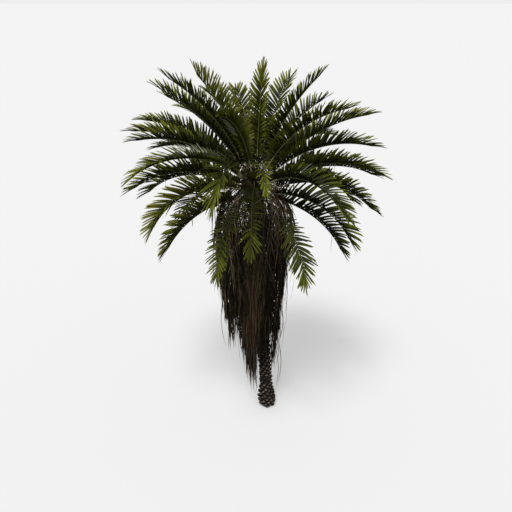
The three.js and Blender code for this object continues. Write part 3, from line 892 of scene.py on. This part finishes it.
def make_fronds(rng):
    """Ribs and leaflets of every green frond. The leaflets are one piece for each whorl. A frond of
    the lowest whorl that starts late has lost its first leaflets, and its rib is dry up to there."""
    ribs = {name: rib_of(nodes) for name, nodes in FRONDS.items()}
    dry = [HABIT.get(name, {}).get("start", 0) * (whorl_of(name) == "e") for name in ribs]
    shaded = [HABIT.get(name, {}).get("shade", 0) == 1 for name in ribs]
    rods = build("frond_ribs", [stalks(list(ribs.values()), dry, shaded)], STALKS)
    for whorl in WHORLS:
        names = [name for name in FRONDS if whorl_of(name) == whorl]
        parts = []
        for name in names:
            # LIT and DIM paint sunlight and shade into the frond's green.
            tint = rng.choice(TINTS[whorl]) + (name in LIT) - (name in DIM)
            habit = {"tint": tint, **WHORLS[whorl], **HABIT.get(name, {})}
            habit["lift"] += rng.normal(0, 3)
            parts.append(leaflets(ribs[name], Habit(**habit), rng))
            parts.append(spines(ribs[name], rng))
        leaves = build(f"leaflets_{whorl}", parts, GREENS)
        nodes = [node for name in names for node in FRONDS[name]]
        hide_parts(*nodes)
        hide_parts(*nodes)


def make_skirt(rng):
    """Dead ribs and their strands, one piece of each kind for each mass."""
    for node in SKIRTS:
        place = node.removeprefix("skirt_")
        rods, hair, hung = [], [], []
        for row in BUNDLES[place]:
            bundle = Bundle(*row)
            ribs = dead_ribs(bundle, rng)
            tints = rng.choice(bundle.finishes, len(ribs))
            rods.append(dead_rods(ribs, tints))
            hair += strands(ribs, bundle.stiff, tints, rng)
            hung.append(ribs)
        if place == "front":
            rods.append(sheath())
        hair.append(mass_threads(np.concatenate(hung), rng))
        for kind, parts in (("dead_ribs", rods), ("strands", hair)):
            piece = build(f"{kind}_{place}", parts, DEAD)
            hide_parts(node)


def make_frond_threads(rng):
    """Dry threads that hang from the low fronds, and long ones from the end of the frond that leans
    furthest over the skirt."""
    count, short, far = FROND_THREADS
    starts, length = [], []
    for name, nodes in FRONDS.items():
        if whorl_of(name) in "de":
            starts.append(along_rib(rib_of(nodes), rng.uniform(0.15, 0.75, count))[0])
            length.append(rng.uniform(short, far, count))
    name, places, long = LONG_THREADS
    starts.append(along_rib(rib_of(FRONDS[name]), np.array(places))[0])
    length.append(long)
    starts, length = np.concatenate(starts), np.concatenate(length)
    hair = threads(starts, 0 * starts, length, (BLACK, UMBER, BROWN), rng)
    piece = build("frond_threads", [hair], DEAD)


def make_stage():
    """A pale floor, and soft light from above and a little from the front left."""
    half = FLOOR_HALF
    corners = [(-half, -half, 0), (half, -half, 0), (half, half, 0), (-half, half, 0)]
    mesh = bpy.data.meshes.new("floor")
    mesh.from_pydata(corners, [], [(0, 1, 2, 3)])
    pale = finish("floor_pale", (FLOOR_GREY, FLOOR_GREY, FLOOR_GREY), 0.9, gloss=0.0)
    shader = pale.node_tree.nodes["Principled BSDF"]
    shader.inputs["Emission Color"].default_value = (1, 1, 1, 1)
    shader.inputs["Emission Strength"].default_value = FLOOR_GREY
    mesh.materials.append(pale)
    floor = bpy.data.objects.new("floor", mesh)
    floor.visible_diffuse = False
    floor.visible_glossy = False
    bpy.context.scene.collection.objects.link(floor)
    sky = bpy.data.worlds.new("studio")
    sky.use_nodes = True
    nodes, links = sky.node_tree.nodes, sky.node_tree.links
    place = nodes.new("ShaderNodeTexCoord")
    split = nodes.new("ShaderNodeSeparateXYZ")
    ramp = nodes.new("ShaderNodeValToRGB")
    stops = ramp.color_ramp.elements
    for number, (position, grey) in enumerate(SKY_GREYS):
        stop = stops[number] if number < 2 else stops.new(position)
        stop.position = position
        stop.color = (grey, grey, grey, 1)
    height = nodes.new("ShaderNodeMath")
    height.operation = "MULTIPLY_ADD"
    height.inputs[1].default_value = 0.5
    height.inputs[2].default_value = 0.5
    links.new(place.outputs["Generated"], split.inputs["Vector"])
    links.new(split.outputs["Z"], height.inputs[0])
    links.new(height.outputs["Value"], ramp.inputs["Fac"])
    links.new(ramp.outputs["Color"], nodes["Background"].inputs["Color"])
    bpy.context.scene.world = sky
    key = bpy.data.lights.new("key", "SUN")
    key.energy = LAMP_STRENGTH
    key.angle = math.radians(LAMP_SPREAD)
    lamp = bpy.data.objects.new("key", key)
    lamp.rotation_euler = [math.radians(turn) for turn in LAMP_TURNS]
    bpy.context.scene.collection.objects.link(lamp)
    bpy.context.scene.view_settings.view_transform = "Standard"


def make_camera():
    """A camera in front of the palm that looks down on it."""
    lens = bpy.data.cameras.new("camera")
    lens.sensor_width = FILM
    lens.lens = LENS
    lens.clip_end = 5 * FLOOR_HALF
    camera = bpy.data.objects.new("camera", lens)
    pitch = math.radians(LOOK_DOWN)
    camera.location = TARGET + DISTANCE * np.array([0, -math.cos(pitch), math.sin(pitch)])
    camera.rotation_euler = (math.pi / 2 - pitch, 0, 0)
    bpy.context.scene.collection.objects.link(camera)
    bpy.context.scene.camera = camera


make_camera()
make_stage()
make_trunk(np.random.default_rng(SEED))
make_fronds(np.random.default_rng(SEED + 1))
make_skirt(np.random.default_rng(SEED + 2))
make_frond_threads(np.random.default_rng(SEED + 3))
